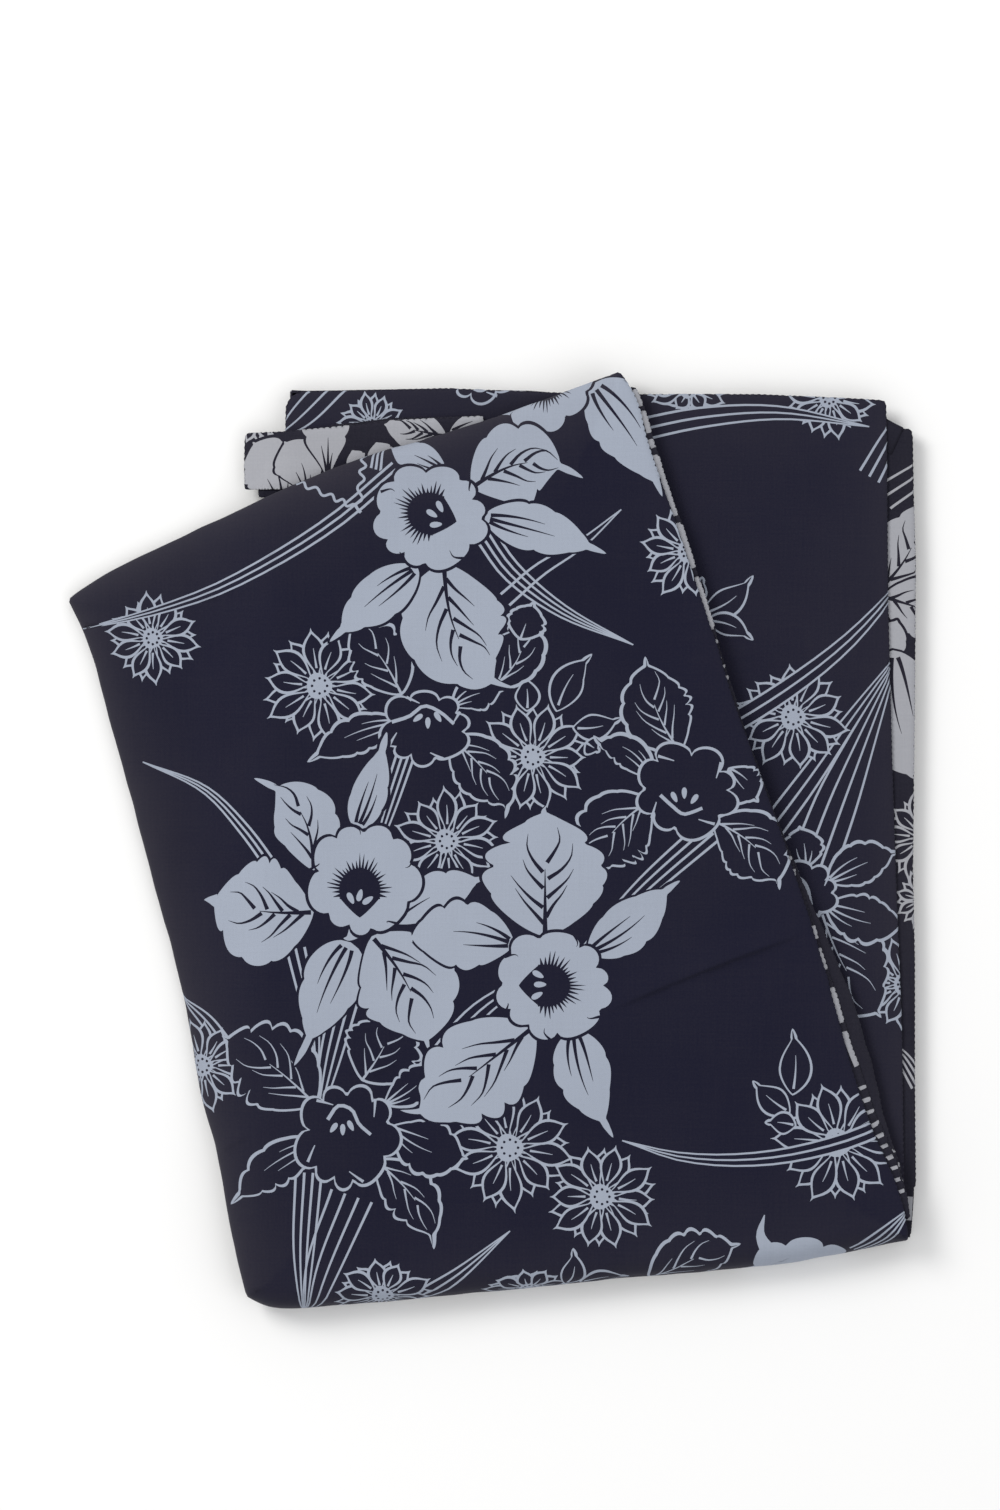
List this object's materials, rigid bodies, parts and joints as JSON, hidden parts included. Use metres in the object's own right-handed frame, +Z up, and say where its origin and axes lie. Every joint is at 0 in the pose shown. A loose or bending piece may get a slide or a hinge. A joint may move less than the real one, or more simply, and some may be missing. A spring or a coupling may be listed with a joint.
{
  "type": "cotton yukata robe, folded",
  "caption": "Unlined cotton yukata robe folded lengthwise and across, lying flat with its front half leaning left, navy cloth with undyed orchid, daisy and grass motifs.",
  "frame": {"origin": "on the surface the folded robe lies on, under the middle of its bounding box", "axes": "+Z up from the surface through the layers, +Y along the rear stack from the lower fold to its upper edge, +X to the right as seen from above"},
  "size_m": [0.4263, 0.4686, 0.0244],
  "materials": {
    "printed_cotton": "plain weave cotton, navy ground with undyed motifs, matt with a faint fuzz",
    "worn_cotton": "plain weave cotton of the collar and inner layers, navy with warmer undyed motifs, matt"
  },
  "bodies": {
    "root": {"left_body": "printed_cotton", "left_body_under": "printed_cotton", "right_body": "printed_cotton", "right_sleeve": "printed_cotton", "left_overlap": "printed_cotton", "right_overlap": "printed_cotton", "collar": "worn_cotton", "over_collar": "worn_cotton", "folded_layers": "worn_cotton"}
  },
  "joints": []
}
